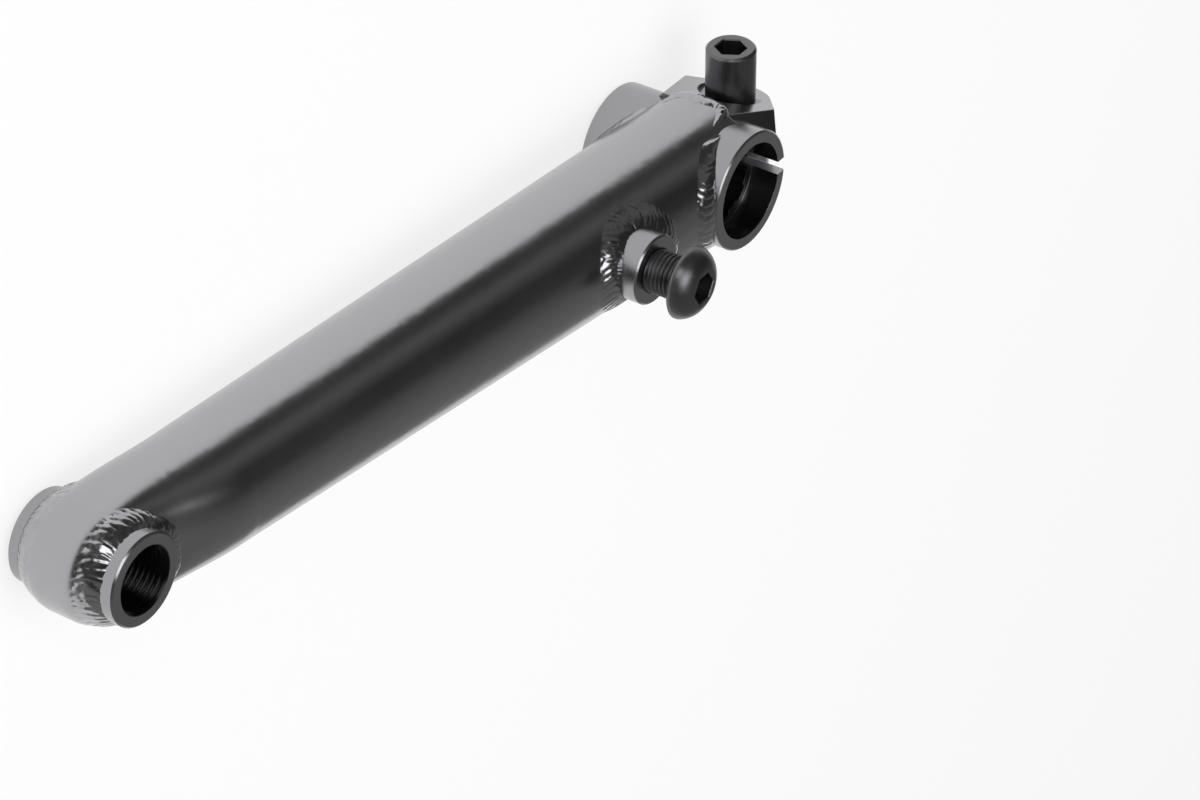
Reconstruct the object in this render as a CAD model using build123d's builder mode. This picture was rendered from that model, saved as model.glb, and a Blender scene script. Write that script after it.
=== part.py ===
"""Bicycle crank arm: a tapered steel tube welded to a splined spindle boss
and a threaded pedal boss, with a pinch lug and bolt and a sprocket boss and bolt.

Units are millimetres.  The origin is the centre of the spindle bore, +X points
away from the pedal, +Y points to the head of the pinch bolt, and +Z points
inboard, to the frame of the bicycle.
"""
import os
from math import cos, pi, sin, sqrt
from build123d import *

os.makedirs("parts", exist_ok=True)

# Crank length and where the two bosses sit
crank_length = 175.0
spindle_outer_z = -18.2
spindle_boss_length = 34.6
pedal_outer_z = -29.6
pedal_boss_length = 25.4

# Spindle boss
spindle_boss_radius = 13.4
spline_count = 8
spline_tooth_radius = 8.5
spline_groove_radius = 9.5
spline_groove_width = 3.6
outer_counterbore_radius = 11.0
outer_counterbore_depth = 2.5
inner_counterbore_radius = 10.75
inner_counterbore_depth = 6.5
slit_width = 3.2
spindle_edge_chamfer = 0.35

# Pedal boss
pedal_boss_radius = 9.7
pedal_thread_major_radius = 7.14
pedal_thread_minor_radius = 6.46
pedal_edge_chamfer = 0.4

# Arm tube
tube_wall = 2.0
tube_past_spindle_boss = 2.5
tube_past_closed_end = 0.5
tube_spindle_centre_z = 1.1
tube_end_x = 3.0
tube_flat = 0.2
closed_end_past_boss = 2.7
closed_end_corner = 7.0
closed_end_blend_length = 24.0
pedal_boss_outer_standout = 2.5
pedal_boss_inner_standout = 3.3

# Pinch lug: two ears either side of the slit
pinch_bolt_x = 17.0
lug_ear_radius = 8.6
lug_outer_z = -15.0
lug_outer_tip_z = -14.0
lug_inner_z = 14.0
upper_ear_start_x = 3.1
upper_ear_tube_side_y = 14.2
upper_ear_far_side_y = 7.0
upper_ear_end_y = 6.4
upper_ear_flat_half_length = 8.0
lower_ear_end_y = -9.0
seat_y = 9.0
seat_radius = 7.1

# Pinch bolt
pinch_bolt_radius = 3.0
pinch_head_radius = 5.45
pinch_head_height = 12.3
pinch_hex_across_flats = 6.0
pinch_hex_depth = 6.0
pinch_head_chamfer = 0.5
pinch_hole_clearance = 0.25

# Sprocket boss and bolt
sprocket_bolt_x = -36.0
sprocket_boss_radius = 7.7
sprocket_boss_base_z = 7.5
sprocket_boss_end_z = 16.6
sprocket_boss_chamfer = 0.4
sprocket_thread_radius = 4.75
sprocket_bolt_tip_z = 9.0
sprocket_head_base_z = 24.2
sprocket_head_radius = 7.9
sprocket_rim_height = 0.6
sprocket_head_height = 4.3
sprocket_crown_radius = 4.1
sprocket_dome_bulge = 0.7
sprocket_hex_across_flats = 6.0
sprocket_hex_depth = 4.4

# Welds and fits
pedal_weld_reach = 2.4
pedal_weld_bare_rim = 1.0
sprocket_weld_reach = 4.6
sprocket_weld_leg = 1.7
spindle_weld_reach = 4.6
spindle_weld_leg = 0.9
spindle_weld_short = 0.3
spindle_bead_radius = 2.2
spindle_bead_turn = 0.35
weld_bulge = 0.6
weld_overlap = 1.2
weld_sections = 16
slip_clearance = 0.05

spindle_inner_z = spindle_outer_z + spindle_boss_length
pedal_x = -crank_length
pedal_inner_z = pedal_outer_z + pedal_boss_length
closed_end_low_z = pedal_outer_z + pedal_boss_outer_standout
closed_end_high_z = pedal_inner_z - pedal_boss_inner_standout
closed_end_half_height = (closed_end_high_z - closed_end_low_z) / 2
closed_end_centre_z = (closed_end_high_z + closed_end_low_z) / 2
closed_end_radius = pedal_boss_radius + closed_end_past_boss
tube_pedal_radius = closed_end_radius + tube_past_closed_end
tube_pedal_centre_z = closed_end_centre_z + tube_past_closed_end
tube_spindle_radius = spindle_boss_radius + tube_past_spindle_boss
blend_stations = []
for share in (0, 0.3, 0.65, 1, 1.25):
    blend = min(share, 1)
    station = pedal_x + share * closed_end_blend_length
    blend_stations.append((station, blend * blend * (3 - 2 * blend)))


def tube_radius(x):
    """Outer radius of the round tube at a station along the arm."""
    return tube_spindle_radius + (tube_spindle_radius - tube_pedal_radius) * x / crank_length


def tube_centre_z(x):
    """Height of the tube's axis at a station along the arm."""
    return tube_spindle_centre_z + (tube_spindle_centre_z - tube_pedal_centre_z) * x / crank_length


def arm_section(x, roundness, inset):
    """Section of the arm: round along the tube, flattened where it closes at the pedal."""
    half_width = closed_end_radius + roundness * (tube_radius(x) - closed_end_radius)
    half_height = closed_end_half_height + roundness * (tube_radius(x) - closed_end_half_height)
    corner = closed_end_corner + roundness * (tube_radius(x) - tube_flat - closed_end_corner)
    centre_z = closed_end_centre_z + roundness * (tube_centre_z(x) - closed_end_centre_z)
    with BuildSketch(Plane.YZ.offset(x)) as section:
        with Locations((0, centre_z)):
            RectangleRounded(2 * (half_width - inset), 2 * (half_height - inset), corner - inset)
    return section.sketch.face()


def closed_end_half_section(inset):
    """Half of the flattened section, turned about the pedal axis to close the tube."""
    with BuildSketch(Plane.YZ.offset(pedal_x)) as section:
        with Locations((0, closed_end_centre_z)):
            RectangleRounded(
                2 * (closed_end_radius - inset),
                2 * (closed_end_half_height - inset),
                closed_end_corner - inset,
            )
        with Locations((-closed_end_radius, closed_end_centre_z)):
            Rectangle(2 * closed_end_radius, 4 * closed_end_half_height, mode=Mode.SUBTRACT)
    return section.sketch.face()


def arm_outline(inset, end_x):
    """Solid outline of the arm, or of the hollow inside it, up to a station."""
    with BuildPart() as outline:
        loft([arm_section(x, roundness, inset) for x, roundness in blend_stations])
        loft(
            [arm_section(blend_stations[-1][0], 1, inset), arm_section(end_x, 1, inset)],
            ruled=True,
        )
        revolve(
            closed_end_half_section(inset),
            axis=Axis((pedal_x, 0, 0), (0, 0, 1)),
            revolution_arc=180,
        )
    return outline.part


# Arm tube: hollow, closed and rounded at the pedal end
arm_solid = arm_outline(0, tube_end_x)
arm_hollow = arm_outline(tube_wall, tube_end_x + tube_wall)

with BuildPart() as arm_tube:
    add(arm_solid)
    add(arm_hollow, mode=Mode.SUBTRACT)
    with Locations((pedal_x, 0, pedal_outer_z + pedal_boss_length / 2)):
        Cylinder(pedal_boss_radius, 2 * pedal_boss_length, mode=Mode.SUBTRACT)
    Cylinder(spindle_boss_radius, 2 * spindle_boss_length, mode=Mode.SUBTRACT)
    with Locations((sprocket_bolt_x, 0, tube_centre_z(sprocket_bolt_x))):
        Cylinder(
            sprocket_boss_radius,
            crank_length,
            align=(Align.CENTER, Align.CENTER, Align.MIN),
            mode=Mode.SUBTRACT,
        )
arm_tube.part.label = "arm_tube"
export_step(arm_tube.part, "parts/arm_tube.step")

# Spindle boss: splined bore, a wider bore at each face, slit on the +X side
with BuildPart() as spindle_boss:
    with BuildSketch(Plane.XY.offset(spindle_outer_z)):
        Circle(spindle_boss_radius)
    extrude(amount=spindle_boss_length)
    chamfer(spindle_boss.edges().filter_by(GeomType.CIRCLE), spindle_edge_chamfer)
    with BuildSketch(Plane.XY.offset(spindle_outer_z)):
        Circle(spline_tooth_radius)
        with PolarLocations(spline_groove_radius / 2, spline_count):
            Rectangle(spline_groove_radius + 1, spline_groove_width)
        Circle(spline_groove_radius, mode=Mode.INTERSECT)
    extrude(amount=spindle_boss_length, mode=Mode.SUBTRACT)
    with BuildSketch(Plane.XY.offset(spindle_outer_z)):
        Circle(outer_counterbore_radius)
    extrude(amount=outer_counterbore_depth, mode=Mode.SUBTRACT)
    with BuildSketch(Plane.XY.offset(spindle_inner_z)):
        Circle(inner_counterbore_radius)
    extrude(amount=-inner_counterbore_depth, mode=Mode.SUBTRACT)
    with BuildSketch(Plane.XY.offset(spindle_outer_z)):
        with Locations((spindle_boss_radius, 0)):
            Rectangle(2 * spindle_boss_radius, slit_width)
    extrude(amount=spindle_boss_length, mode=Mode.SUBTRACT)
spindle_boss.part.label = "spindle_boss"
export_step(spindle_boss.part, "parts/spindle_boss.step")

# Pedal boss: bored for the pedal thread, with a chamfer at each mouth
with BuildPart() as pedal_boss:
    with BuildSketch(Plane.XY.offset(pedal_outer_z)):
        with Locations((pedal_x, 0)):
            Circle(pedal_boss_radius)
    extrude(amount=pedal_boss_length)
    chamfer(pedal_boss.edges().filter_by(GeomType.CIRCLE), pedal_edge_chamfer)
    with BuildSketch(Plane.XY.offset(pedal_outer_z)):
        with Locations((pedal_x, 0)):
            Circle(pedal_thread_minor_radius)
    extrude(amount=pedal_boss_length, mode=Mode.SUBTRACT)
    bore_edges = pedal_boss.edges().filter_by(
        lambda edge: edge.geom_type == GeomType.CIRCLE
        and abs(edge.radius - pedal_thread_minor_radius) < 0.01
    )
    chamfer(bore_edges, pedal_thread_major_radius - pedal_thread_minor_radius)
pedal_boss.part.label = "pedal_boss"
export_step(pedal_boss.part, "parts/pedal_boss.step")

# Upper ear of the pinch lug: a sloped block rounded about the bolt
flank = sqrt(0.5) * lug_ear_radius

with BuildPart() as pinch_lug_upper:
    with BuildSketch(Plane.XZ):
        with BuildLine():
            corners = Polyline(
                (pinch_bolt_x + flank, flank),
                (spindle_boss_radius, lug_inner_z),
                (upper_ear_start_x, lug_inner_z),
                (upper_ear_start_x, lug_outer_z),
                (spindle_boss_radius, lug_outer_z),
                (pinch_bolt_x, lug_outer_tip_z),
                (pinch_bolt_x + flank, -flank),
            )
            ThreePointArc(
                corners @ 1,
                (pinch_bolt_x + lug_ear_radius, 0),
                corners @ 0,
            )
        make_face()
    extrude(amount=-upper_ear_tube_side_y)
    far_x = pinch_bolt_x + lug_ear_radius
    with BuildSketch(Plane.XY.offset(lug_outer_z)):
        with BuildLine():
            Polyline(
                (upper_ear_start_x, slit_width / 2),
                (far_x, slit_width / 2),
                (far_x, upper_ear_far_side_y),
                (upper_ear_start_x, upper_ear_tube_side_y),
                close=True,
            )
        make_face()
    extrude(amount=lug_inner_z - lug_outer_z, mode=Mode.INTERSECT)
    for end_z, flat_z in (
        (lug_outer_z, -upper_ear_flat_half_length),
        (lug_inner_z, upper_ear_flat_half_length),
    ):
        with BuildSketch(Plane.YZ.offset(upper_ear_start_x)):
            with BuildLine():
                Polyline(
                    (upper_ear_end_y, end_z),
                    (upper_ear_tube_side_y, flat_z),
                    (upper_ear_tube_side_y + 1, flat_z),
                    (upper_ear_tube_side_y + 1, end_z),
                    close=True,
                )
            make_face()
        extrude(amount=far_x, mode=Mode.SUBTRACT)
    Cylinder(spindle_boss_radius, 2 * spindle_boss_length, mode=Mode.SUBTRACT)
    with Locations((pinch_bolt_x, seat_y, 0)):
        Cylinder(
            seat_radius,
            upper_ear_tube_side_y,
            rotation=(-90, 0, 0),
            align=(Align.CENTER, Align.CENTER, Align.MIN),
            mode=Mode.SUBTRACT,
        )
    with Locations((pinch_bolt_x, 0, 0)):
        Cylinder(
            pinch_bolt_radius + pinch_hole_clearance,
            4 * seat_y,
            rotation=(90, 0, 0),
            mode=Mode.SUBTRACT,
        )
pinch_lug_upper.part.label = "pinch_lug_upper"
export_step(pinch_lug_upper.part, "parts/pinch_lug_upper.step")

# Lower ear of the pinch lug: holds the thread of the pinch bolt
with BuildPart() as pinch_lug_lower:
    with BuildSketch(Plane.XZ.offset(slit_width / 2)):
        with Locations((pinch_bolt_x, 0)):
            Circle(lug_ear_radius)
        with Locations((pinch_bolt_x / 2, 0)):
            Rectangle(pinch_bolt_x, 2 * lug_ear_radius)
    extrude(amount=-lower_ear_end_y - slit_width / 2)
    Cylinder(spindle_boss_radius, 2 * spindle_boss_length, mode=Mode.SUBTRACT)
    with Locations((pinch_bolt_x, 0, 0)):
        Cylinder(
            pinch_bolt_radius + slip_clearance,
            4 * seat_y,
            rotation=(90, 0, 0),
            mode=Mode.SUBTRACT,
        )
pinch_lug_lower.part.label = "pinch_lug_lower"
export_step(pinch_lug_lower.part, "parts/pinch_lug_lower.step")

# Pinch bolt: tall round head with a hex socket, shank down to the lower ear
with BuildPart() as pinch_bolt:
    with BuildSketch(Plane.XZ.offset(-seat_y)):
        with Locations((pinch_bolt_x, 0)):
            Circle(pinch_head_radius)
    extrude(amount=-pinch_head_height)
    chamfer(
        pinch_bolt.edges().filter_by(GeomType.CIRCLE).sort_by(Axis.Y)[-1],
        pinch_head_chamfer,
    )
    with BuildSketch(Plane.XZ.offset(-seat_y)):
        with Locations((pinch_bolt_x, 0)):
            Circle(pinch_bolt_radius)
    extrude(amount=seat_y - lower_ear_end_y)
    with BuildSketch(Plane.XZ.offset(-seat_y - pinch_head_height)):
        with Locations((pinch_bolt_x, 0)):
            RegularPolygon(pinch_hex_across_flats / 2, 6, major_radius=False)
    extrude(amount=pinch_hex_depth, mode=Mode.SUBTRACT)
pinch_bolt.part.label = "pinch_bolt"
export_step(pinch_bolt.part, "parts/pinch_bolt.step")

# Sprocket boss: threaded bung through the inboard wall of the tube
with BuildPart() as sprocket_boss:
    with BuildSketch(Plane.XY.offset(sprocket_boss_base_z)):
        with Locations((sprocket_bolt_x, 0)):
            Circle(sprocket_boss_radius)
            Circle(sprocket_thread_radius + slip_clearance, mode=Mode.SUBTRACT)
    extrude(amount=sprocket_boss_end_z - sprocket_boss_base_z)
    chamfer(
        sprocket_boss.edges().group_by(Axis.Z)[-1].sort_by(SortBy.RADIUS)[-1],
        sprocket_boss_chamfer,
    )
sprocket_boss.part.label = "sprocket_boss"
export_step(sprocket_boss.part, "parts/sprocket_boss.step")

# Sprocket bolt: flanged dome head with a hex socket
rim_top_z = sprocket_head_base_z + sprocket_rim_height
crown_z = sprocket_head_base_z + sprocket_head_height
half_slope = sqrt(0.5) * sprocket_dome_bulge

with BuildPart() as sprocket_bolt:
    with BuildSketch(Plane.XZ):
        with BuildLine():
            rim = Polyline(
                (sprocket_bolt_x, crown_z),
                (sprocket_bolt_x, sprocket_head_base_z),
                (sprocket_bolt_x + sprocket_head_radius, sprocket_head_base_z),
                (sprocket_bolt_x + sprocket_head_radius, rim_top_z),
            )
            crown = Line(
                (sprocket_bolt_x, crown_z),
                (sprocket_bolt_x + sprocket_crown_radius, crown_z),
            )
            middle = (rim @ 1 + crown @ 1) / 2
            ThreePointArc(
                rim @ 1,
                middle + Vector(half_slope, half_slope),
                crown @ 1,
            )
        make_face()
    revolve(axis=Axis((sprocket_bolt_x, 0, 0), (0, 0, 1)))
    with BuildSketch(Plane.XY.offset(sprocket_bolt_tip_z)):
        with Locations((sprocket_bolt_x, 0)):
            Circle(sprocket_thread_radius)
    extrude(amount=sprocket_head_base_z - sprocket_bolt_tip_z)
    with BuildSketch(Plane.XY.offset(crown_z)):
        with Locations((sprocket_bolt_x, 0)):
            RegularPolygon(sprocket_hex_across_flats / 2, 6, major_radius=False)
    extrude(amount=-sprocket_hex_depth, mode=Mode.SUBTRACT)
sprocket_bolt.part.label = "sprocket_bolt"
export_step(sprocket_bolt.part, "parts/sprocket_bolt.step")


# Welds, each laid in the corner between a boss's wall and the skin of the tube
def skin_z(x, y, side):
    """Height of the tube's skin above a point, inboard for side 1, outboard for -1."""
    probe = Edge.make_line((x, y, -crank_length), (x, y, crank_length))
    heights = [vertex.Z for vertex in arm_solid.intersect(probe).vertices()]
    return max(heights) if side > 0 else min(heights)


def weld_section(plane, wall, toe, base, side):
    """Section of a weld: a bulged face from the boss's wall to the toe on the skin."""
    run, drop = toe[0] - wall[0], toe[1] - wall[1]
    length = sqrt(run * run + drop * drop)
    belly = (
        (wall[0] + toe[0]) / 2 + weld_bulge * abs(drop) / length,
        (wall[1] + toe[1]) / 2 + weld_bulge * side * abs(run) / length,
    )
    with BuildSketch(plane) as section:
        with BuildLine():
            ThreePointArc(wall, belly, toe)
            Polyline(toe, (toe[0], toe[1] - side * weld_overlap), base, wall)
        make_face()
    return section.sketch.face()


def ring_weld(boss_x, boss_radius, side, reach, top_height):
    """Weld all round a boss; top_height gives the weld's top on the wall from the skin there."""
    near = boss_radius - weld_overlap
    far = boss_radius + reach
    half_round = weld_sections // 2
    sections = []
    for step in range(weld_sections + 1):
        angle = 2 * pi * step / weld_sections
        across = (cos(angle), sin(angle), 0)
        plane = Plane(origin=(boss_x, 0, 0), x_dir=across, z_dir=(sin(angle), -cos(angle), 0))
        base_z = skin_z(boss_x + boss_radius * cos(angle), boss_radius * sin(angle), side)
        toe_z = skin_z(boss_x + far * cos(angle), far * sin(angle), side)
        wall = (near, top_height(base_z))
        base = (near, base_z - side * weld_overlap)
        sections.append(weld_section(plane, wall, (far, toe_z), base, side))
    with BuildPart() as weld:
        loft(sections[:half_round + 1])
        loft(sections[half_round:])
        add(arm_solid, mode=Mode.SUBTRACT)
        with Locations((boss_x, 0, 0)):
            Cylinder(boss_radius, crank_length, mode=Mode.SUBTRACT)
    return weld.part


with BuildPart() as pedal_weld_outer:
    top_z = pedal_outer_z + pedal_weld_bare_rim
    add(ring_weld(pedal_x, pedal_boss_radius, -1, pedal_weld_reach, lambda base_z: top_z))
pedal_weld_outer.part.label = "pedal_weld_outer"
export_step(pedal_weld_outer.part, "parts/pedal_weld_outer.step")

with BuildPart() as pedal_weld_inner:
    top_z = pedal_inner_z - pedal_weld_bare_rim
    add(ring_weld(pedal_x, pedal_boss_radius, 1, pedal_weld_reach, lambda base_z: top_z))
pedal_weld_inner.part.label = "pedal_weld_inner"
export_step(pedal_weld_inner.part, "parts/pedal_weld_inner.step")

with BuildPart() as sprocket_weld:
    add(
        ring_weld(
            sprocket_bolt_x,
            sprocket_boss_radius,
            1,
            sprocket_weld_reach,
            lambda base_z: base_z + sprocket_weld_leg,
        )
    )
sprocket_weld.part.label = "sprocket_weld"
export_step(sprocket_weld.part, "parts/sprocket_weld.step")


def spindle_run(side):
    """Weld across the tube along the spindle boss, as sections side by side in y."""
    half_count = weld_sections // 4
    half_width = spindle_boss_radius - spindle_weld_short
    sections = []
    for step in range(-half_count, half_count + 1):
        y = half_width * step / half_count
        wall_x = -sqrt(spindle_boss_radius**2 - y * y)
        toe_x = wall_x - spindle_weld_reach
        base_z = skin_z(wall_x, y, side)
        plane = Plane(origin=(0, y, 0), x_dir=(-1, 0, 0), z_dir=(0, 1, 0))
        wall = (-wall_x - weld_overlap, base_z + side * spindle_weld_leg)
        base = (-wall_x - weld_overlap, base_z - side * weld_overlap)
        toe = (-toe_x, skin_z(toe_x, y, side))
        sections.append(weld_section(plane, wall, toe, base, side))
    return loft(sections)


def edge_bead(hand):
    """Round bead down the cut end of the tube, its two ends buried in the runs."""
    back_x = -spindle_weld_reach
    back_y = hand * (spindle_boss_radius - spindle_weld_short)
    sunk_radius = tube_radius(tube_end_x) - weld_overlap
    path_points = [(back_x, back_y, skin_z(back_x, back_y, -1) + weld_overlap)]
    for angle in (-spindle_bead_turn, 0, spindle_bead_turn):
        y = hand * sunk_radius * cos(angle)
        path_points.append((tube_end_x, y, tube_centre_z(tube_end_x) + sunk_radius * sin(angle)))
    path_points.append((back_x, back_y, skin_z(back_x, back_y, 1) - weld_overlap))
    with BuildPart() as bead:
        with BuildLine() as path:
            Spline(*path_points)
        with BuildSketch(Plane(origin=path.line @ 0, z_dir=path.line % 0)):
            Circle(spindle_bead_radius)
        sweep(path=path.line)
    return bead.part


with BuildPart() as spindle_weld:
    add(spindle_run(-1))
    add(spindle_run(1))
    add(edge_bead(-1))
    add(edge_bead(1))
    add(arm_solid, mode=Mode.SUBTRACT)
    Cylinder(spindle_boss_radius, crank_length, mode=Mode.SUBTRACT)
    add(pinch_lug_upper.part, mode=Mode.SUBTRACT)
spindle_weld.part.label = "spindle_weld"
export_step(spindle_weld.part, "parts/spindle_weld.step")
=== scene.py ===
"""Looks of the bicycle crank arm: plated finish, rippled welds, threads, studio and camera.

Lengths are in metres in the part's own frame; the sizes named in millimetres are
multiplied by MM where they are used.
"""
import math

import bpy
from mathutils import Matrix, Vector, noise
from mathutils.bvhtree import BVHTree


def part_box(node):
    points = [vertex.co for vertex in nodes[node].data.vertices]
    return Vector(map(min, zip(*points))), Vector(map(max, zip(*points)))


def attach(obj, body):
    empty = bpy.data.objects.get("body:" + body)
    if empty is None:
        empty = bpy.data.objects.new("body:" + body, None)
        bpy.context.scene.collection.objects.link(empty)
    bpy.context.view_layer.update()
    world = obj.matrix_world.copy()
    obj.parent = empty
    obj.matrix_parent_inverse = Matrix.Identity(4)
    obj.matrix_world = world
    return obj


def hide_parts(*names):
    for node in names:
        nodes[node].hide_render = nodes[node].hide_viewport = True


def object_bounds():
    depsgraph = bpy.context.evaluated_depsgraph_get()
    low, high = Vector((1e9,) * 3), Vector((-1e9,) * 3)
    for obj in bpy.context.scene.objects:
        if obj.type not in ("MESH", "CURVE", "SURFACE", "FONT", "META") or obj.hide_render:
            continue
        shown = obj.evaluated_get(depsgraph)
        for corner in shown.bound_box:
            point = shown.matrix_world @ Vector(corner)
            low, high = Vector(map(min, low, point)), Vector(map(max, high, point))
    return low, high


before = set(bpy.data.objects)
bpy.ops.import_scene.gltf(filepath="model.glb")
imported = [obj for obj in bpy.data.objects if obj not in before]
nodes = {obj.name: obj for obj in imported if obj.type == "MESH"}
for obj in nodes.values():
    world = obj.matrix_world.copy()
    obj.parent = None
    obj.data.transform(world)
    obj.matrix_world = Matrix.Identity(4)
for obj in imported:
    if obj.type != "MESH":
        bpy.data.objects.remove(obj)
cad_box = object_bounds()
MM = 0.001

# Sizes of the object in millimetres
spindle_boss_radius = 13.4
tube_end_x = 3.0
tube_end_centre_z = 1.4
spindle_outer_z = -18.2
pedal_outer_z = -29.6
pedal_thread_major_radius = 7.14
pedal_thread_minor_radius = 6.46
pedal_thread_pitch = 1.27
pedal_edge_chamfer = 0.4
sprocket_thread_major_radius = 4.75
sprocket_thread_minor_radius = 4.2
sprocket_thread_pitch = 1.0
sprocket_thread_stop = 0.5
sprocket_neck = 0.3
sprocket_head_base_z = 24.2
sprocket_rim_height = 0.6
sprocket_crown_radius = 4.1
sprocket_dome_bulge = 0.7
sprocket_hex_depth = 4.4
pinch_thread_major_radius = 3.0
pinch_thread_minor_radius = 2.5
pinch_thread_pitch = 1.0
pinch_thread_stop = 2.0
pinch_collar = 1.5
pinch_head_base_y = 9.0
pinch_head_chamfer = 0.5
pinch_hex_depth = 6.0
thread_end_chamfer = 0.4
head_edge_chamfer = 0.2
hex_across_flats = 6.0
hex_mouth_chamfer = 0.25
hex_floor_chamfer = 0.2
drill_cone_radius = 1.2
drill_tip_radius = 0.2
drill_tip_depth = 0.5

# Sizes of the welds in millimetres
pedal_weld_reach = 2.4
pedal_weld_bare_rim = 1.0
sprocket_weld_reach = 4.6
sprocket_weld_leg = 1.7
spindle_weld_reach = 4.6
spindle_weld_leg = 0.9
spindle_weld_short = 0.3
spindle_bead_radius = 2.2
weld_bulge = 0.6
weld_overlap = 1.2
skin_margin = 0.05
bead_extra_sink = 0.2
ripple_pitch = 1.9
ripple_depth = 0.16

# Form of the threads, the ripples and the bead, as shares, slopes and angles
thread_flank_slope = 1.3
thread_root_flat = 0.12
ripple_bow = 1.1
ripple_wander = 0.9
ripple_sharpness = 2.2
wander_scale = 0.3
lump_scale = 0.9
lump_share = 0.5
toe_fade = 8
spindle_arc_factor = 2.3
spindle_bead_turn = 0.35
bead_start_swell = 0.1
bead_lean = 0.6
weld_sharp_degrees = 75

# Fineness of the meshes
turned_segments = 96
thread_samples = 8
dome_steps = 12
ripple_samples = 7
face_samples = 16
bead_leg_steps = 30
bead_taper_steps = 40
bead_sides = 24

# Radii in millimetres inside which a bore gets painted shade over its duller bare steel
spindle_bore_shade_radius = 10.7
sprocket_bore_shade_radius = 5.0
pedal_bore_shade_radius = 7.2
bore_shade_blur = 0.15

# Studio; the floor's size is in metres
floor_half = 12.0
floor_grey = 0.9
floor_glow_share = 0.8
# Grey of the studio by degrees round the arm, from the horizon on the +Y side to the other one
studio_bands = (
    (0, 0.1),
    (11, 0.05),
    (23, 0.06),
    (41, 0.16),
    (52, 0.1),
    (64, 0.03),
    (88, 0.05),
    (101, 0.12),
    (130, 0.2),
    (180, 0.27),
)


def node_middle(node):
    """Middle of a CAD node's box, in millimetres."""
    low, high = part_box(node)
    return (low + high) / 2 / MM


def node_size(node):
    """Size of a CAD node's box, in millimetres."""
    low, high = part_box(node)
    return (high - low) / MM


# Shader node helpers
def new_material(name):
    """Empty node material with a Principled shader; returns material, nodes, links, shader."""
    material = bpy.data.materials.new(name)
    material.use_nodes = True
    tree = material.node_tree
    shader = tree.nodes["Principled BSDF"]
    return material, tree.nodes, tree.links, shader


def noise_node(tree_nodes, links, vector, scale, detail=4.0, roughness=0.55, stretch=(1, 1, 1)):
    """Noise read along object coordinates, stretched along the axes."""
    mapping = tree_nodes.new("ShaderNodeMapping")
    mapping.inputs["Scale"].default_value = stretch
    links.new(vector, mapping.inputs["Vector"])
    texture = tree_nodes.new("ShaderNodeTexNoise")
    texture.inputs["Scale"].default_value = scale
    texture.inputs["Detail"].default_value = detail
    texture.inputs["Roughness"].default_value = roughness
    links.new(mapping.outputs["Vector"], texture.inputs["Vector"])
    return texture.outputs["Fac"]


def spread(tree_nodes, links, value, low, high):
    """Noise, most of which lies from 0.3 to 0.7, spread over a range."""
    node = tree_nodes.new("ShaderNodeMapRange")
    node.inputs["From Min"].default_value = 0.3
    node.inputs["From Max"].default_value = 0.7
    node.inputs["To Min"].default_value = low
    node.inputs["To Max"].default_value = high
    links.new(value, node.inputs["Value"])
    return node.outputs["Result"]


def grey_mix(tree_nodes, links, value, dark, light):
    """Colour between two greys, by a value from 0 to 1."""
    node = tree_nodes.new("ShaderNodeMix")
    node.data_type = "RGBA"
    node.inputs["A"].default_value = (*dark, 1)
    node.inputs["B"].default_value = (*light, 1)
    links.new(value, node.inputs["Factor"])
    return node.outputs["Result"]


def add_bump(tree_nodes, links, height, strength, distance, under=None):
    """Bump by a height; under is the bump that this one lies on."""
    node = tree_nodes.new("ShaderNodeBump")
    node.inputs["Strength"].default_value = strength
    node.inputs["Distance"].default_value = distance
    links.new(height, node.inputs["Height"])
    if under is not None:
        links.new(under, node.inputs["Normal"])
    return node.outputs["Normal"]


def rounded_edges(tree_nodes, radius):
    """Normal that rounds hard edges by a radius."""
    node = tree_nodes.new("ShaderNodeBevel")
    node.samples = 6
    node.inputs["Radius"].default_value = radius
    return node.outputs["Normal"]


def turning_marks(tree_nodes, links, vector, distance, pitch):
    """Fine rings about an axis along Z, as a lathe tool leaves them."""
    radius = tree_nodes.new("ShaderNodeCombineXYZ")
    links.new(distance, radius.inputs["X"])
    separate = tree_nodes.new("ShaderNodeSeparateXYZ")
    links.new(vector, separate.inputs["Vector"])
    links.new(separate.outputs["Z"], radius.inputs["Y"])
    texture = tree_nodes.new("ShaderNodeTexNoise")
    texture.inputs["Scale"].default_value = 1 / (pitch * MM)
    texture.inputs["Detail"].default_value = 2.0
    links.new(radius.outputs["Vector"], texture.inputs["Vector"])
    return texture.outputs["Fac"]


def distance_from_axis(tree_nodes, links, vector, centre):
    """Distance of a point from an axis along Z."""
    shift = tree_nodes.new("ShaderNodeVectorMath")
    shift.operation = "SUBTRACT"
    shift.inputs[1].default_value = (centre.x * MM, centre.y * MM, 0)
    links.new(vector, shift.inputs[0])
    flat = tree_nodes.new("ShaderNodeVectorMath")
    flat.operation = "MULTIPLY"
    flat.inputs[1].default_value = (1, 1, 0)
    links.new(shift.outputs["Vector"], flat.inputs[0])
    length = tree_nodes.new("ShaderNodeVectorMath")
    length.operation = "LENGTH"
    links.new(flat.outputs["Vector"], length.inputs[0])
    return length.outputs["Value"]


def shaded_bore_colour(tree_nodes, links, colour, distance, bore_radius, dark):
    """Colour that turns dark inside a bore: painted shade, over the duller bare steel that little
    plating reaches.
    """
    edge = tree_nodes.new("ShaderNodeMapRange")
    edge.inputs["From Min"].default_value = (bore_radius - bore_shade_blur) * MM
    edge.inputs["From Max"].default_value = (bore_radius + bore_shade_blur) * MM
    links.new(distance, edge.inputs["Value"])
    mix = tree_nodes.new("ShaderNodeMix")
    mix.data_type = "RGBA"
    mix.inputs["A"].default_value = (*dark, 1)
    links.new(colour, mix.inputs["B"])
    links.new(edge.outputs["Result"], mix.inputs["Factor"])
    return mix.outputs["Result"]


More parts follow.
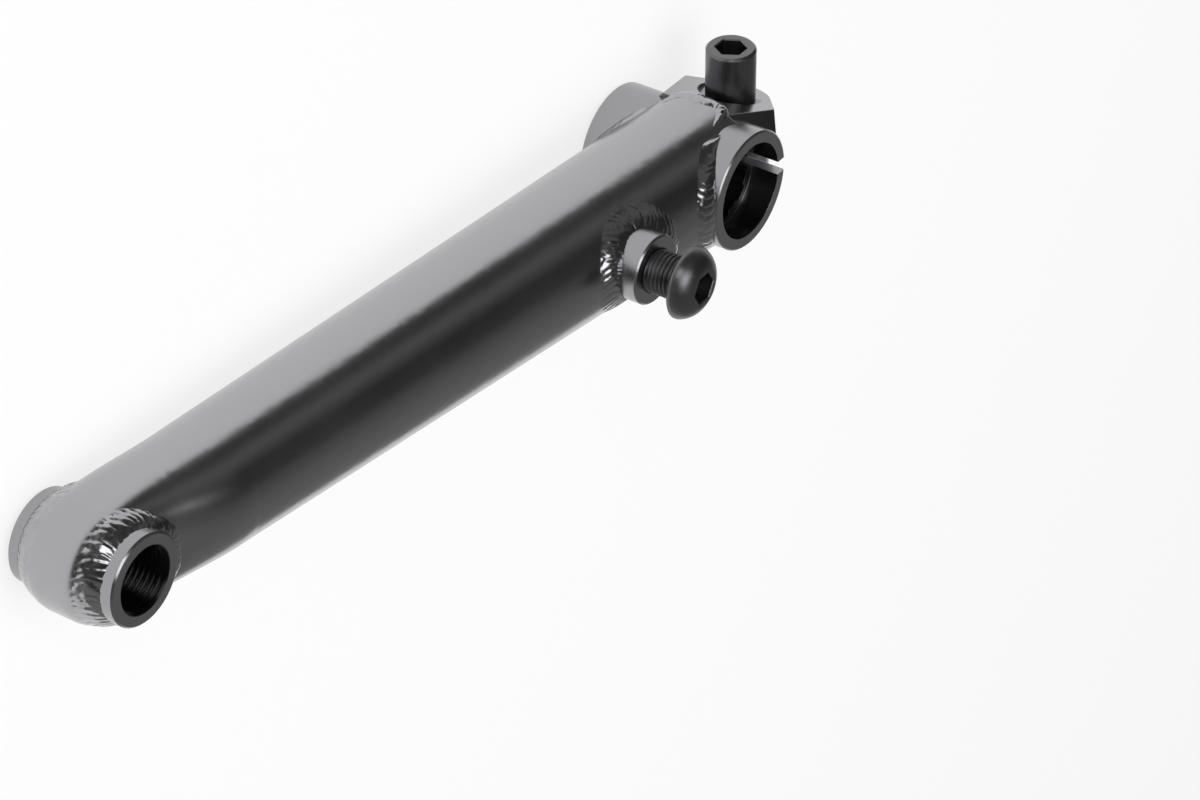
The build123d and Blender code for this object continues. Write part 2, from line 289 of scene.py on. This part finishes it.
def plated_steel(name, base, roughness, edge_radius, grain=0.12):
    """Dark plated steel: soft clouding, faint polishing lines along the arm and fine grain."""
    material, tree_nodes, links, shader, vector, colour = plated_base(name, base, roughness)
    links.new(colour, shader.inputs["Base Color"])
    lines = noise_node(
        tree_nodes, links, vector, scale=900, detail=3.0, roughness=0.6, stretch=(0.06, 1, 1)
    )
    normal = rounded_edges(tree_nodes, edge_radius * MM)
    normal = add_bump(tree_nodes, links, lines, strength=0.05, distance=0.00008, under=normal)
    add_grain(tree_nodes, links, shader, vector, grain, normal)
    return material


def turned_steel(name, base, roughness, edge_radius, centre, bore_radius, bore_shade_grey, grain=0.12):
    """Plated steel turned about an axis along Z: rings left by the tool, and painted shade in the
    bore over the duller bare steel there.
    """
    material, tree_nodes, links, shader, vector, colour = plated_base(name, base, roughness)
    distance = distance_from_axis(tree_nodes, links, vector, centre)
    marks = turning_marks(tree_nodes, links, vector, distance, pitch=0.16)
    normal = rounded_edges(tree_nodes, edge_radius * MM)
    normal = add_bump(tree_nodes, links, marks, strength=0.3, distance=0.00006, under=normal)
    # Painted shade inside the bore, over the duller bare steel there
    dark = (bore_shade_grey, bore_shade_grey, bore_shade_grey)
    colour = shaded_bore_colour(tree_nodes, links, colour, distance, bore_radius, dark)
    links.new(colour, shader.inputs["Base Color"])
    add_grain(tree_nodes, links, shader, vector, grain, normal)
    return material


def plated_base(name, base, roughness):
    """Metal with soft clouding; returns material, nodes, links, shader, place and colour."""
    material, tree_nodes, links, shader = new_material(name)
    shader.inputs["Metallic"].default_value = 1.0
    vector = tree_nodes.new("ShaderNodeTexCoord").outputs["Object"]
    clouds = noise_node(tree_nodes, links, vector, scale=38, detail=3.0)
    light = tuple(min(1, channel * 1.09) for channel in base)
    colour = grey_mix(tree_nodes, links, clouds, dark=base, light=light)
    rough = spread(tree_nodes, links, clouds, low=roughness * 0.88, high=roughness * 1.12)
    links.new(rough, shader.inputs["Roughness"])
    return material, tree_nodes, links, shader, vector, colour


def add_grain(tree_nodes, links, shader, vector, strength, normal):
    """Fine grain over a normal, as the shader's own normal."""
    grains = noise_node(tree_nodes, links, vector, scale=3200, detail=2.0)
    normal = add_bump(tree_nodes, links, grains, strength, distance=0.00003, under=normal)
    links.new(normal, shader.inputs["Normal"])


def weld_metal():
    """Plated weld: the same finish over a rougher skin, with pits and pimples."""
    material, tree_nodes, links, shader = new_material("weld_metal")
    shader.inputs["Metallic"].default_value = 1.0
    vector = tree_nodes.new("ShaderNodeTexCoord").outputs["Object"]
    lumps = noise_node(tree_nodes, links, vector, scale=420, detail=3.0)
    pits = noise_node(tree_nodes, links, vector, scale=1900, detail=4.0, roughness=0.65)
    colour = grey_mix(tree_nodes, links, lumps, dark=(0.32, 0.32, 0.33), light=(0.48, 0.48, 0.49))
    links.new(colour, shader.inputs["Base Color"])
    links.new(spread(tree_nodes, links, pits, low=0.1, high=0.24), shader.inputs["Roughness"])
    normal = add_bump(tree_nodes, links, lumps, strength=0.3, distance=0.0002)
    normal = add_bump(tree_nodes, links, pits, strength=0.15, distance=0.00006, under=normal)
    links.new(normal, shader.inputs["Normal"])
    return material


def black_oxide():
    """Black oxide on steel: near black, satin, a little worn."""
    material, tree_nodes, links, shader = new_material("black_oxide")
    shader.inputs["Metallic"].default_value = 1.0
    vector = tree_nodes.new("ShaderNodeTexCoord").outputs["Object"]
    patches = noise_node(tree_nodes, links, vector, scale=260, detail=4.0)
    grains = noise_node(tree_nodes, links, vector, scale=2600, detail=3.0)
    colour = grey_mix(tree_nodes, links, patches, dark=(0.14, 0.14, 0.145), light=(0.2, 0.2, 0.205))
    links.new(colour, shader.inputs["Base Color"])
    links.new(spread(tree_nodes, links, patches, low=0.3, high=0.44), shader.inputs["Roughness"])
    normal = rounded_edges(tree_nodes, 0.18 * MM)
    normal = add_bump(tree_nodes, links, grains, strength=0.2, distance=0.00005, under=normal)
    links.new(normal, shader.inputs["Normal"])
    return material


# Mesh helpers
def skin_object(name, points, faces, material, stands_for, sharp_degrees=32):
    """Mesh from points in millimetres that stands for a CAD node and rides on the part."""
    mesh = bpy.data.meshes.new(name)
    mesh.from_pydata([Vector(point) * MM for point in points], [], faces)
    mesh.validate()
    mesh.shade_smooth()
    mesh.set_sharp_from_angle(angle=math.radians(sharp_degrees))
    mesh.materials.append(material)
    piece = bpy.data.objects.new(name, mesh)
    bpy.context.scene.collection.objects.link(piece)
    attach(piece, "root")
    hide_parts(stands_for)
    return piece


def turned(rings, place, closed):
    """Points and faces of rings (radius, height), where a radius may depend on the angle."""
    points = []
    for radius, height in rings:
        for step in range(turned_segments):
            angle = 2 * math.pi * step / turned_segments
            r = radius(angle) if callable(radius) else radius
            points.append(place @ Vector((r * math.cos(angle), r * math.sin(angle), height)))
    faces = []
    count = len(rings)
    for row in range(count if closed else count - 1):
        after = (row + 1) % count
        for step in range(turned_segments):
            beside = (step + 1) % turned_segments
            faces.append(
                (
                    row * turned_segments + step,
                    row * turned_segments + beside,
                    after * turned_segments + beside,
                    after * turned_segments + step,
                )
            )
    if not closed:
        faces.append(tuple(reversed(range(turned_segments))))
        faces.append(tuple((count - 1) * turned_segments + step for step in range(turned_segments)))
    return points, faces


def hexagon(across_flats, extra=0.0):
    """Radius of a hexagon by angle."""
    def radius(angle):
        side = math.pi / 3
        return (across_flats / 2 + extra) / math.cos((angle % side) - side / 2)
    return radius


def thread_radius(height, major, minor, pitch):
    """Radius of a 60 degree thread at one height, by angle."""
    def radius(angle):
        turn = (height / pitch - angle / (2 * math.pi)) % 1
        rise = abs(2 * turn - 1)
        return minor + (major - minor) * min(1, max(0, thread_flank_slope * rise - thread_root_flat))
    return radius


def thread_rings(start, end, major, minor, pitch):
    """Rings of a thread from one height to another."""
    count = max(2, round(abs(end - start) / pitch * thread_samples))
    rings = []
    for step in range(count + 1):
        height = start + (end - start) * step / count
        rings.append((thread_radius(height, major, minor, pitch), height))
    return rings


def ripple_drop(along, across, seed, place):
    """How far the weld's face lies under its full height: crescents laid one on the next."""
    wander = noise.noise(place * wander_scale + Vector((seed, 0, 0)))
    bow = ripple_bow * (1 - (2 * across - 1) ** 2)
    phase = (along / ripple_pitch + bow + ripple_wander * wander) % 1
    crescent = phase ** ripple_sharpness
    lump = noise.noise(place * lump_scale + Vector((0, seed, 0)))
    return ripple_depth * (crescent + lump_share * (lump + 1))


def weld_shell(points, faces, loops, seed, closed):
    """Adds a weld made of loops (wall, toe, bulge direction, root) side by side."""
    first = len(points)
    travelled = 0.0
    for index, (wall, toe, out, root) in enumerate(loops):
        if index:
            travelled += (toe - loops[index - 1][1]).length
        for step in range(face_samples + 1):
            across = step / face_samples
            bulge = weld_bulge * 4 * across * (1 - across)
            place = wall.lerp(toe, across)
            fade = min(1, toe_fade * (1 - across))
            drop = ripple_drop(travelled, across, seed, place) * fade
            points.append(place + out * (bulge - drop))
        points.append(root)
    ring = face_samples + 2
    count = len(loops)
    for index in range(count if closed else count - 1):
        after = (index + 1) % count
        for step in range(ring):
            beside = (step + 1) % ring
            faces.append(
                (
                    first + index * ring + step,
                    first + index * ring + beside,
                    first + after * ring + beside,
                    first + after * ring + step,
                )
            )
    if not closed:
        faces.append(tuple(first + step for step in reversed(range(ring))))
        faces.append(tuple(first + (count - 1) * ring + step for step in range(ring)))


def weld_loop(wall, toe, side, root):
    """Wall point, toe, the direction of the bulge between them, and the buried root."""
    run = (toe - wall).normalized()
    up = Vector((0, 0, side))
    return wall, toe, (up - run * up.dot(run)).normalized(), root


def ring_loops(centre, boss_radius, side, reach, top_height):
    """Loops of the weld round a boss; top_height gives its top on the wall from the skin there."""
    count = round(2 * math.pi * (boss_radius + reach) / ripple_pitch) * ripple_samples
    near, far = boss_radius - weld_overlap, boss_radius + reach
    loops = []
    for index in range(count):
        angle = side * 2 * math.pi * index / count
        across = Vector((math.cos(angle), math.sin(angle), 0))
        wall_foot = centre + across * (boss_radius + skin_margin)
        toe_foot = centre + across * far
        base_z = skin_point(wall_foot.x, wall_foot.y, side).z
        inner = centre + across * near
        wall = Vector((inner.x, inner.y, top_height(base_z)))
        root = Vector((inner.x, inner.y, base_z - side * weld_overlap))
        toe = skin_point(toe_foot.x, toe_foot.y, side)
        loops.append(weld_loop(wall, toe, side, root))
    return loops


def spindle_loops(side):
    """Loops of the weld across the tube along the spindle boss."""
    half_width = spindle_boss_radius - spindle_weld_short
    count = round(spindle_arc_factor * half_width / ripple_pitch) * ripple_samples
    loops = []
    for index in range(count + 1):
        y = side * half_width * (2 * index / count - 1)
        wall_x = -math.sqrt(spindle_boss_radius ** 2 - y * y)
        base_z = skin_point(wall_x - skin_margin, y, side).z
        inner_x = wall_x + weld_overlap
        wall = Vector((inner_x, y, base_z + side * spindle_weld_leg))
        root = Vector((inner_x, y, base_z - side * weld_overlap))
        toe = skin_point(wall_x - spindle_weld_reach, y, side)
        loops.append(weld_loop(wall, toe, side, root))
    return loops


def edge_bead(points, faces, hand, seed):
    """Adds the round bead down the cut end of the tube; its ends swell out of the skin."""
    back_x = -spindle_weld_reach
    back_y = hand * (spindle_boss_radius - spindle_weld_short)
    sunk = node_size("arm_tube").y / 2 - weld_overlap - bead_extra_sink
    run = [skin_point(back_x, back_y, -1) + Vector((0, 0, weld_overlap))]
    for turn in (-spindle_bead_turn, 0, spindle_bead_turn):
        z = tube_end_centre_z + sunk * math.sin(turn)
        run.append(Vector((tube_end_x, hand * sunk * math.cos(turn), z)))
    run.append(skin_point(back_x, back_y, 1) - Vector((0, 0, weld_overlap)))
    spine = curve_through(run, bead_leg_steps)
    first = len(points)
    travelled = 0.0
    for index, centre in enumerate(spine):
        after, before = spine[min(index + 1, len(spine) - 1)], spine[max(index - 1, 0)]
        ahead = (after - before).normalized()
        travelled += (centre - before).length
        out = Vector((bead_lean, hand, 0))
        out = (out - ahead * out.dot(ahead)).normalized()
        beside = ahead.cross(out)
        end_share = min(index, len(spine) - 1 - index) / bead_taper_steps
        share = bead_start_swell + (1 - bead_start_swell) * end_share
        swell = math.sin(math.pi / 2 * min(1, share))
        for turn in range(bead_sides):
            angle = 2 * math.pi * turn / bead_sides
            away = out * math.cos(angle) + beside * math.sin(angle)
            across = 0.5 + 0.5 * math.sin(angle)
            drop = ripple_drop(travelled, across, seed, centre + away * spindle_bead_radius)
            points.append(centre + away * ((spindle_bead_radius - drop) * swell))
    for index in range(len(spine) - 1):
        for turn in range(bead_sides):
            next_turn = (turn + 1) % bead_sides
            faces.append(
                (
                    first + index * bead_sides + turn,
                    first + (index + 1) * bead_sides + turn,
                    first + (index + 1) * bead_sides + next_turn,
                    first + index * bead_sides + next_turn,
                )
            )
    last = first + (len(spine) - 1) * bead_sides
    faces.append(tuple(first + turn for turn in range(bead_sides)))
    faces.append(tuple(last + turn for turn in reversed(range(bead_sides))))


def curve_through(run, steps):
    """Smooth run of points through a few points."""
    padded = [run[0] * 2 - run[1]] + run + [run[-1] * 2 - run[-2]]
    points = []
    for leg in range(len(run) - 1):
        a, b, c, d = padded[leg:leg + 4]
        for step in range(steps):
            t = step / steps
            cubic = (b - c) * 3 + d - a
            square = a * 2 - b * 5 + c * 4 - d
            points.append(b + ((c - a) * t + square * t ** 2 + cubic * t ** 3) / 2)
    points.append(run[-1])
    return points


# Skin of the tube, read from the CAD model by rays that start this high, in metres
skin_ray_height = 0.2
tube_skin = BVHTree.FromObject(nodes["arm_tube"], bpy.context.evaluated_depsgraph_get())


def skin_point(x, y, side):
    """Point on the tube's skin over (x, y), inboard for side 1 and outboard for -1."""
    start = Vector((x * MM, y * MM, side * skin_ray_height))
    return tube_skin.ray_cast(start, Vector((0, 0, -side)))[0] / MM


# Pieces that stand for CAD nodes
def make_pedal_boss(material):
    """Pedal boss with the thread in its bore."""
    middle, size = node_middle("pedal_boss"), node_size("pedal_boss")
    low, high = middle.z - size.z / 2, middle.z + size.z / 2
    outer = size.x / 2
    major, minor = pedal_thread_major_radius, pedal_thread_minor_radius
    rings = [
        (outer - pedal_edge_chamfer, low),
        (outer, low + pedal_edge_chamfer),
        (outer, high - pedal_edge_chamfer),
        (outer - pedal_edge_chamfer, high),
    ]
    count = round((high - low) / pedal_thread_pitch * thread_samples)
    for step in range(count + 1):
        height = high + (low - high) * step / count
        mouth = major - min(height - low, high - height)
        groove = thread_radius(height, major, minor, pedal_thread_pitch)
        rings.append((lambda angle, m=mouth, g=groove: max(m, g(angle)), height))
    place = Matrix.Translation((middle.x, middle.y, 0))
    points, faces = turned(rings, place, True)
    name = "pedal_boss_threaded"
    return skin_object(name, points, faces, material, "pedal_boss")


def make_sprocket_bolt(material):
    """Bolt with a wide domed head, a hex socket and a threaded shank."""
    middle = node_middle("sprocket_bolt")
    low, high = (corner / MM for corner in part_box("sprocket_bolt"))
    head_radius = (high.x - low.x) / 2
    major, minor = sprocket_thread_major_radius, sprocket_thread_minor_radius
    rim_top = sprocket_head_base_z + sprocket_rim_height
    thread_start, thread_end = low.z + thread_end_chamfer, sprocket_head_base_z - sprocket_thread_stop
    rings = [(minor - thread_end_chamfer, low.z)]
    rings += thread_rings(thread_start, thread_end, major, minor, sprocket_thread_pitch)
    rings += [
        (minor, sprocket_head_base_z - sprocket_neck),
        (minor, sprocket_head_base_z),
        (head_radius - head_edge_chamfer, sprocket_head_base_z),
        (head_radius, sprocket_head_base_z + head_edge_chamfer),
    ]
    fall, rise = head_radius - sprocket_crown_radius, high.z - rim_top
    slant = math.hypot(fall, rise)
    for step in range(dome_steps + 1):
        share = step / dome_steps
        bulge = 4 * share * (1 - share) * sprocket_dome_bulge
        r = head_radius - fall * share + bulge * rise / slant
        rings.append((r, rim_top + rise * share + bulge * fall / slant))
    rings += socket_rings(high.z, sprocket_hex_depth)
    place = Matrix.Translation((middle.x, middle.y, 0))
    points, faces = turned(rings, place, False)
    name = "sprocket_bolt_threaded"
    return skin_object(name, points, faces, material, "sprocket_bolt")


def socket_rings(top, depth):
    """Rings of a hex socket from its mouth to the cone at its floor."""
    return [
        (hexagon(hex_across_flats, hex_mouth_chamfer), top),
        (hexagon(hex_across_flats), top - hex_mouth_chamfer),
        (hexagon(hex_across_flats), top - depth + hex_floor_chamfer),
        (hexagon(hex_across_flats, -hex_mouth_chamfer), top - depth),
        (drill_cone_radius, top - depth),
        (drill_tip_radius, top - depth - drill_tip_depth),
    ]


def make_pinch_bolt(material):
    """Cap bolt with a tall round head, a hex socket and a threaded shank."""
    middle = node_middle("pinch_bolt")
    low, high = (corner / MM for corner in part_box("pinch_bolt"))
    radius = (high.x - low.x) / 2
    major, minor = pinch_thread_major_radius, pinch_thread_minor_radius
    thread_start, thread_end = low.y + thread_end_chamfer, pinch_head_base_y - pinch_thread_stop
    rings = [(minor - thread_end_chamfer, low.y)]
    rings += thread_rings(thread_start, thread_end, major, minor, pinch_thread_pitch)
    rings += [
        (major, pinch_head_base_y - pinch_collar),
        (major, pinch_head_base_y),
        (radius - head_edge_chamfer, pinch_head_base_y),
        (radius, pinch_head_base_y + head_edge_chamfer),
        (radius, high.y - pinch_head_chamfer),
        (radius - pinch_head_chamfer, high.y),
    ]
    rings += socket_rings(high.y, pinch_hex_depth)
    place = Matrix.Translation((middle.x, 0, middle.z)) @ Matrix.Rotation(-math.pi / 2, 4, "X")
    points, faces = turned(rings, place, False)
    name = "pinch_bolt_threaded"
    return skin_object(name, points, faces, material, "pinch_bolt")


def weld_piece(stands_for, points, faces, material):
    """Rippled weld that stands for a CAD weld."""
    name = stands_for + "_rippled"
    skin_object(name, points, faces, material, stands_for, weld_sharp_degrees)


def make_pedal_weld(stands_for, side, seed, material):
    """Weld round the pedal boss on one side of the tube; its top leaves a bare rim."""
    middle, size = node_middle("pedal_boss"), node_size("pedal_boss")
    top = middle.z + side * (size.z / 2 - pedal_weld_bare_rim)
    centre = Vector((middle.x, 0, 0))
    loops = ring_loops(centre, size.x / 2, side, pedal_weld_reach, lambda base: top)
    points, faces = [], []
    weld_shell(points, faces, loops, seed, True)
    weld_piece(stands_for, points, faces, material)


def make_sprocket_weld(seed, material):
    """Weld round the sprocket boss."""
    centre = Vector((node_middle("sprocket_boss").x, 0, 0))
    radius = node_size("sprocket_boss").x / 2
    loops = ring_loops(
        centre, radius, 1, sprocket_weld_reach, lambda base: base + sprocket_weld_leg
    )
    points, faces = [], []
    weld_shell(points, faces, loops, seed, True)
    weld_piece("sprocket_weld", points, faces, material)


def make_spindle_weld(run_seed, bead_seed, material):
    """Weld along the spindle boss: a run on each face of the tube and a bead down each side."""
    points, faces = [], []
    for side in (-1, 1):
        weld_shell(points, faces, spindle_loops(side), run_seed + side, False)
        edge_bead(points, faces, side, bead_seed + side)
    weld_piece("spindle_weld", points, faces, material)


def dress_node(node, material):
    """Gives a carried-over CAD node its finish."""
    nodes[node].data.materials.clear()
    nodes[node].data.materials.append(material)


# Studio pieces
def largest(tree_nodes, links, values):
    """Largest of several values."""
    result = values[0]
    for value in values[1:]:
        node = tree_nodes.new("ShaderNodeMath")
        node.operation = "MAXIMUM"
        links.new(result, node.inputs[0])
        links.new(value, node.inputs[1])
        result = node.outputs["Value"]
    return result


def floor_material():
    """Pale paper that keeps a soft shadow; camera and reflections see most of it as white."""
    material = bpy.data.materials.new("pale_floor")
    material.use_nodes = True
    tree_nodes, links = material.node_tree.nodes, material.node_tree.links
    tree_nodes.remove(tree_nodes["Principled BSDF"])
    paper = tree_nodes.new("ShaderNodeBsdfDiffuse")
    paper.inputs["Color"].default_value = (floor_grey, floor_grey, floor_grey, 1)
    glow = tree_nodes.new("ShaderNodeEmission")
    glow.inputs["Color"].default_value = (1, 1, 1, 1)
    glow.inputs["Strength"].default_value = 1.0
    rays = tree_nodes.new("ShaderNodeLightPath").outputs
    seen_by = [rays["Is Camera Ray"], rays["Is Glossy Ray"], rays["Is Transmission Ray"]]
    share = tree_nodes.new("ShaderNodeMath")
    share.operation = "MULTIPLY"
    share.inputs[1].default_value = floor_glow_share
    links.new(largest(tree_nodes, links, seen_by), share.inputs[0])
    mix = tree_nodes.new("ShaderNodeMixShader")
    links.new(share.outputs["Value"], mix.inputs["Fac"])
    links.new(paper.outputs["BSDF"], mix.inputs[1])
    links.new(glow.outputs["Emission"], mix.inputs[2])
    links.new(mix.outputs["Shader"], tree_nodes["Material Output"].inputs["Surface"])
    return material


def make_floor():
    """Pale floor under the two outer faces that the arm lies on, sloped as they are."""
    spindle_edge = node_size("spindle_boss").y / 2
    pedal_edge = node_middle("pedal_boss").x + node_size("pedal_boss").x / 2
    slope = (spindle_outer_z - pedal_outer_z) / (spindle_edge - pedal_edge)
    corners = []
    for x_sign, y_sign in ((-1, -1), (1, -1), (1, 1), (-1, 1)):
        x, y = x_sign * floor_half, y_sign * floor_half
        corners.append((x, y, spindle_outer_z * MM + slope * (x - spindle_edge * MM)))
    mesh = bpy.data.meshes.new("studio_floor")
    mesh.from_pydata(corners, [], [(0, 1, 2, 3)])
    mesh.materials.append(floor_material())
    floor = bpy.data.objects.new("studio_floor", mesh)
    bpy.context.scene.collection.objects.link(floor)


def make_world():
    """Dim studio above the floor, in long bands along the arm, the same to every ray."""
    world = bpy.data.worlds.new("studio")
    bpy.context.scene.world = world
    world.use_nodes = True
    tree_nodes, links = world.node_tree.nodes, world.node_tree.links
    tree_nodes.clear()
    parts = tree_nodes.new("ShaderNodeSeparateXYZ")
    direction = tree_nodes.new("ShaderNodeTexCoord").outputs["Generated"]
    links.new(direction, parts.inputs["Vector"])
    turn = tree_nodes.new("ShaderNodeMath")
    turn.operation = "ARCTAN2"
    links.new(parts.outputs["Z"], turn.inputs[0])
    links.new(parts.outputs["Y"], turn.inputs[1])
    round_arm = tree_nodes.new("ShaderNodeMapRange")
    round_arm.inputs["From Min"].default_value = 0
    round_arm.inputs["From Max"].default_value = math.pi
    links.new(turn.outputs["Value"], round_arm.inputs["Value"])
    ramp = tree_nodes.new("ShaderNodeValToRGB")
    stops = ramp.color_ramp.elements
    while len(stops) < len(studio_bands):
        stops.new(0.5)
    for stop, (degrees, grey) in zip(stops, studio_bands):
        stop.position = degrees / 180
        stop.color = (grey, grey, grey, 1)
    links.new(round_arm.outputs["Result"], ramp.inputs["Fac"])
    studio = tree_nodes.new("ShaderNodeBackground")
    links.new(ramp.outputs["Color"], studio.inputs["Color"])
    output = tree_nodes.new("ShaderNodeOutputWorld")
    links.new(studio.outputs["Background"], output.inputs["Surface"])


def area_light(name, direction, distance, size, energy, shiny):
    """Square soft light that looks at the middle of the arm; only a shiny one shows in the metal."""
    data = bpy.data.lights.new(name, "AREA")
    data.shape = "SQUARE"
    data.size = size
    data.energy = energy
    light = bpy.data.objects.new(name, data)
    bpy.context.scene.collection.objects.link(light)
    middle = (cad_box[0] + cad_box[1]) / 2
    toward = Vector(direction).normalized()
    light.location = middle + toward * distance
    light.rotation_mode = "QUATERNION"
    light.rotation_quaternion = (-toward).to_track_quat("-Z", "Y")
    light.visible_glossy = shiny


def make_camera():
    """Camera fitted to the photograph by the directions of its right side and its view."""
    right = Vector((0.567, -0.002, 0.824)).normalized()
    forward = Vector((0.668, -0.584, -0.461))
    forward = (forward - right * forward.dot(right)).normalized()
    up = right.cross(forward)
    place = Vector((-0.6453, 0.4942, 0.4231))
    data = bpy.data.cameras.new("camera")
    data.sensor_width = 36.0
    data.lens = 129.2
    data.clip_start = 0.05
    data.clip_end = 50.0
    camera = bpy.data.objects.new("camera", data)
    bpy.context.scene.collection.objects.link(camera)
    turn = Matrix((right, up, -forward)).transposed().to_4x4()
    camera.matrix_world = Matrix.Translation(place) @ turn
    bpy.context.scene.camera = camera


# Finish of every piece
boss_look = {"base": (0.33, 0.33, 0.34), "roughness": 0.26, "edge_radius": 0.2}
tube_finish = plated_steel("plated_tube", base=(0.38, 0.38, 0.39), roughness=0.23, edge_radius=0.3)
lug_finish = plated_steel(
    "plated_lug", base=(0.32, 0.32, 0.33), roughness=0.26, edge_radius=0.35, grain=0.25
)
# Each boss gets painted shade in its bore; in the pedal bore it is near black.
spindle_finish = turned_steel(
    "turned_spindle_boss",
    **boss_look,
    centre=node_middle("spindle_boss"),
    bore_radius=spindle_bore_shade_radius,
    bore_shade_grey=0.1,
)
sprocket_finish = turned_steel(
    "turned_sprocket_boss",
    **boss_look,
    centre=node_middle("sprocket_boss"),
    bore_radius=sprocket_bore_shade_radius,
    bore_shade_grey=0.1,
)
pedal_finish = turned_steel(
    "turned_pedal_boss",
    **boss_look,
    centre=node_middle("pedal_boss"),
    bore_radius=pedal_bore_shade_radius,
    bore_shade_grey=0.015,
)
bolt_finish = black_oxide()
weld_finish = weld_metal()

dress_node("arm_tube", tube_finish)
dress_node("pinch_lug_upper", lug_finish)
dress_node("pinch_lug_lower", lug_finish)
dress_node("spindle_boss", spindle_finish)
dress_node("sprocket_boss", sprocket_finish)
make_pedal_boss(pedal_finish)
make_sprocket_bolt(bolt_finish)
make_pinch_bolt(bolt_finish)
make_pedal_weld("pedal_weld_outer", side=-1, seed=3, material=weld_finish)
make_pedal_weld("pedal_weld_inner", side=1, seed=11, material=weld_finish)
make_sprocket_weld(seed=23, material=weld_finish)
make_spindle_weld(run_seed=41, bead_seed=47, material=weld_finish)

make_floor()
make_world()
area_light("key_light", (-0.2, 0.1, 1), distance=1.2, size=1.2, energy=12, shiny=False)
area_light("top_softbox", (-0.31, 0.35, 0.88), distance=1.1, size=0.68, energy=3.6, shiny=True)
area_light("side_softbox", (-0.47, 0.75, 0.42), distance=1.1, size=0.42, energy=1.4, shiny=True)
make_camera()
bpy.context.scene.view_settings.view_transform = "Standard"
